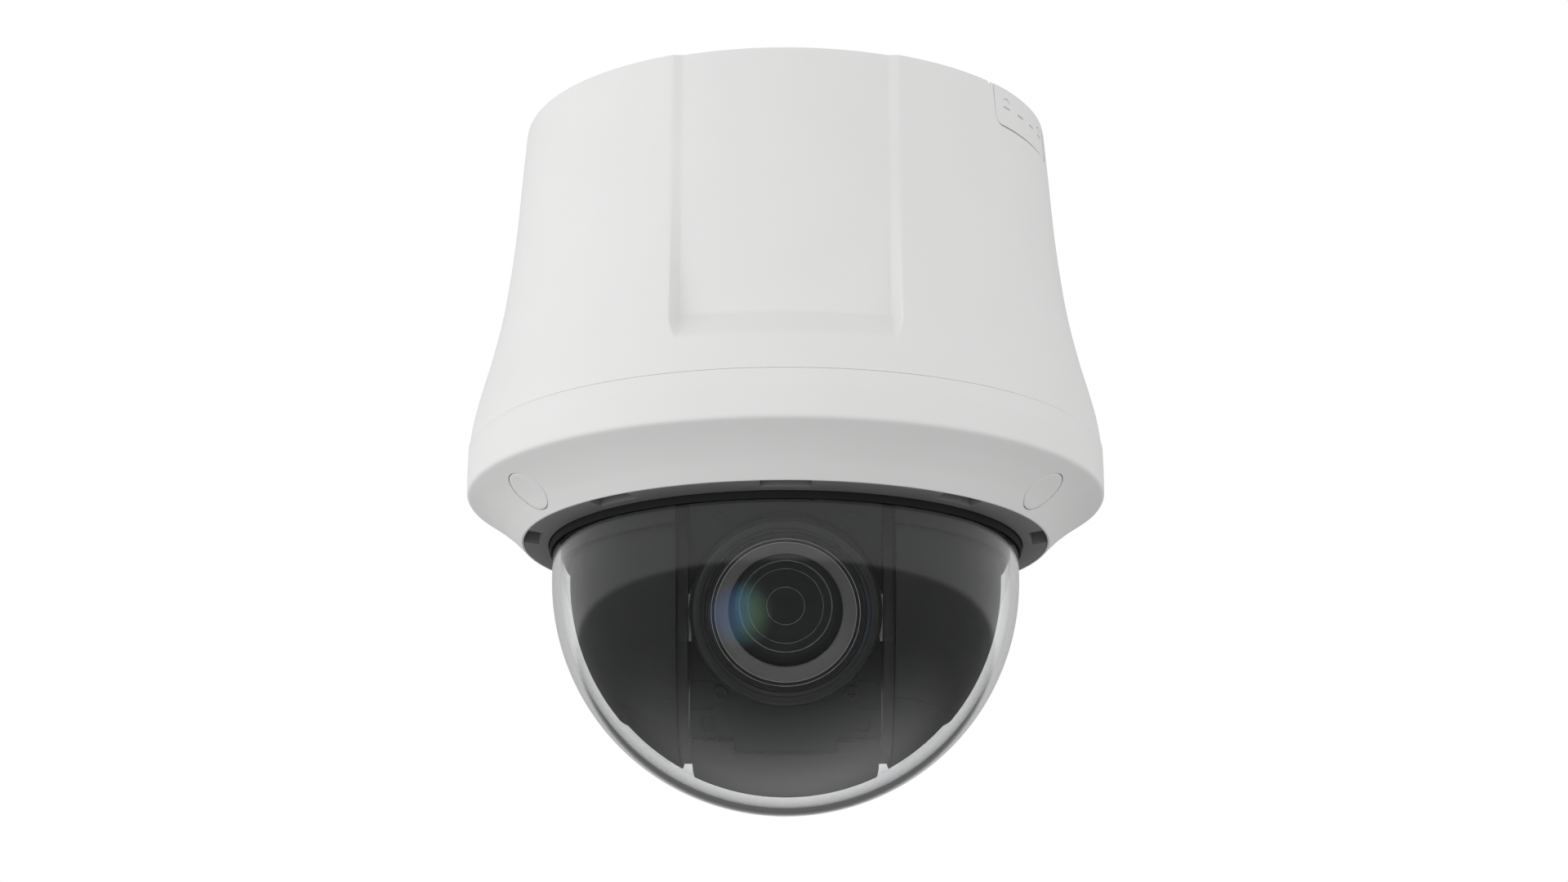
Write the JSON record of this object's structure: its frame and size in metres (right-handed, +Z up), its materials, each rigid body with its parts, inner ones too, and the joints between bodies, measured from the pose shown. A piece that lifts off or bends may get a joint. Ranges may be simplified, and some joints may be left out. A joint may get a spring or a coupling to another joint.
{
  "type": "ptz camera",
  "caption": "Ceiling pan-tilt-zoom dome camera: flared white housing with a clear half-sphere bubble over a black liner and a tilting zoom lens.",
  "frame": {"origin": "centre of the four ceiling screw holes, on the flat top face that meets the ceiling; the camera hangs below it", "axes": "+Z up into the ceiling, along the pan axis; -Y to the front, where the lens looks at rest; +X to the right seen from the front"},
  "size_m": [0.164, 0.164, 0.1794],
  "materials": {
    "white_shell": "fine satin texture, white",
    "grey_ring": "satin, dark grey",
    "gasket_rubber": "matte black",
    "clear_bubble": "polished clear polycarbonate",
    "black_liner": "matte black",
    "black_cover": "satin black",
    "steel_screws": "bright",
    "cast_chassis": "machined",
    "brass_parts": "turned",
    "gear_plastic": "natural acetal",
    "circuit_board": "green solder mask",
    "board_parts": "moulded black",
    "terminals": "green nylon",
    "jack_shield": "tinned shield",
    "motor_can": "zinc plated",
    "lens_glass": "coated"
  },
  "bodies": {
    "housing": {"back_box": "white_shell", "ceiling_plate": "cast_chassis", "side_entry_cover": "white_shell", "trim_ring": "white_shell", "screw_caps": "white_shell", "trim_screws": "steel_screws", "bubble_ring": "grey_ring", "bubble_gasket": "gasket_rubber", "dome_bubble": "clear_bubble", "chassis_plate": "cast_chassis", "chassis_screws": "steel_screws", "board_standoffs": "brass_parts", "main_board": "circuit_board", "board_parts": "board_parts", "network_jack": "jack_shield", "screw_terminals": "terminals", "power_board": "circuit_board", "pan_motor": "motor_can", "slip_ring": "board_parts", "pan_bearing_outer": "steel_screws", "memory_card_slot": "board_parts", "reset_switch": "board_parts"},
    "memory_card": {"memory_card": "board_parts"},
    "reset_button": {"reset_button": "board_parts"},
    "pan_pinion": {"pan_pinion": "gear_plastic"},
    "pan": {"pan_hub": "cast_chassis", "pan_bearing_inner": "steel_screws", "pan_gear": "gear_plastic", "pan_platform": "cast_chassis", "yoke_arm_left": "black_cover", "yoke_arm_right": "black_cover", "platform_screws": "steel_screws", "tilt_bushes": "brass_parts", "liner_left": "black_liner", "liner_right": "black_liner", "tilt_motor_bracket": "black_cover", "tilt_motor": "motor_can", "driver_board": "circuit_board"},
    "tilt_pinion": {"tilt_pinion": "gear_plastic"},
    "camera": {"camera_body": "cast_chassis", "tilt_shafts": "steel_screws", "tilt_gear": "gear_plastic", "front_cover": "black_cover", "cover_screws": "steel_screws", "lens_bezel": "black_cover", "side_clips": "steel_screws", "lens_barrel": "cast_chassis", "front_retainer": "black_cover", "front_lens": "lens_glass", "second_lens": "lens_glass", "guide_rods": "steel_screws", "tilt_cover": "black_liner", "sensor_board": "circuit_board", "processor_board": "circuit_board"},
    "zoom_group": {"zoom_cell": "black_cover", "zoom_lens": "lens_glass"},
    "focus_group": {"focus_cell": "black_cover", "focus_lens": "lens_glass"},
    "ir_cut_filter": {"ir_filter_frame": "black_cover", "ir_filter_glass": "lens_glass"}
  },
  "joints": [
    {"name": "pan_turn", "type": "hinge", "parent": "housing", "child": "pan", "pos_m": [0, 0, -0.066], "axis": [0, 0, 1], "continuous": true},
    {"name": "pan_pinion_turn", "type": "hinge", "parent": "housing", "child": "pan_pinion", "pos_m": [0.03539, 0.02478, -0.06], "axis": [0, 0, 1], "continuous": true},
    {"name": "tilt_turn", "type": "hinge", "parent": "pan", "child": "camera", "pos_m": [0, 0, -0.1196], "axis": [1, 0, 0], "range_deg": [-22, 68]},
    {"name": "tilt_pinion_turn", "type": "hinge", "parent": "pan", "child": "tilt_pinion", "pos_m": [-0.033, 0, -0.0962], "axis": [1, 0, 0], "range_deg": [-230, 76]},
    {"name": "zoom_slide", "type": "slide", "parent": "camera", "child": "zoom_group", "axis": [0, -0.9272, -0.3746], "range_m": [-0.005, 0.01]},
    {"name": "focus_slide", "type": "slide", "parent": "camera", "child": "focus_group", "axis": [0, -0.9272, -0.3746], "range_m": [-0.0025, 0.0025]},
    {"name": "filter_slide", "type": "slide", "parent": "camera", "child": "ir_cut_filter", "axis": [1, 0, 0], "range_m": [0, 0.009]},
    {"name": "card_slide", "type": "slide", "parent": "housing", "child": "memory_card", "axis": [0, 1, 0], "range_m": [0, 0.012]},
    {"name": "reset_press", "type": "slide", "parent": "housing", "child": "reset_button", "axis": [0, 0, -1], "range_m": [0, 0.0005], "stiffness_N_per_m": 500, "springref_m": -0.0005}
  ],
  "couplings": [
    {"joint": "pan_pinion_turn", "follows": "pan_turn", "ratio": -5},
    {"joint": "tilt_pinion_turn", "follows": "tilt_turn", "ratio": -3.3333}
  ]
}
